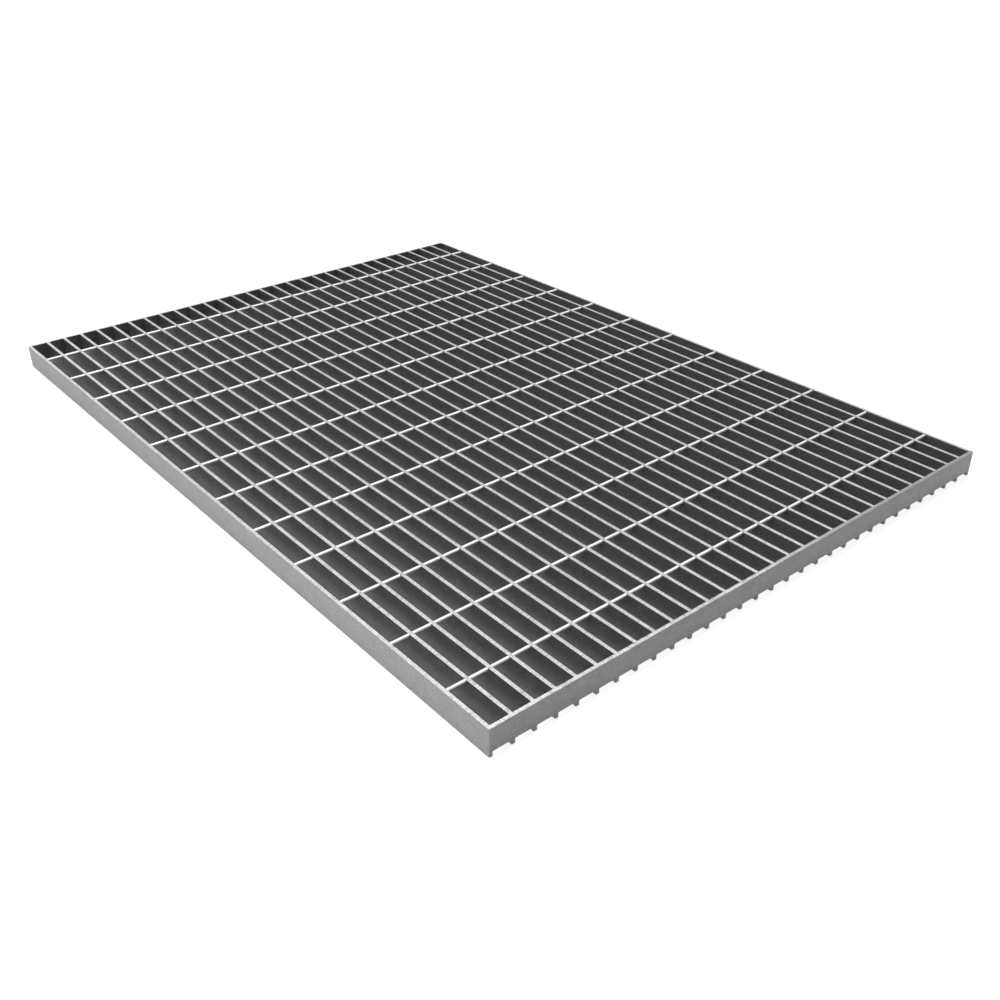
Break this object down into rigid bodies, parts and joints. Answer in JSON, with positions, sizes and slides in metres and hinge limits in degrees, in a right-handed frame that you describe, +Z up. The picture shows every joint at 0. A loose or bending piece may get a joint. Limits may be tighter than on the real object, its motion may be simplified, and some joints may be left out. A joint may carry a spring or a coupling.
{
  "type": "steel grating panel",
  "caption": "Welded steel bar grating: flat bearing bars on edge, round cross rods let in flush with their tops, and a shallower band bar across each end.",
  "frame": {"origin": "middle of the panel's length and width, on the level of the bearing bars' lower edges", "axes": "+X along the bearing bars, +Y across them along the cross rods, +Z up"},
  "size_m": [1.27, 0.9096, 0.0381],
  "materials": {
    "galvanised_mat": "dull galvanised",
    "galvanised_band": "dull galvanised"
  },
  "bodies": {
    "root": {"grating_mat": "galvanised_mat", "front_end_band": "galvanised_band", "back_end_band": "galvanised_band"}
  },
  "joints": []
}
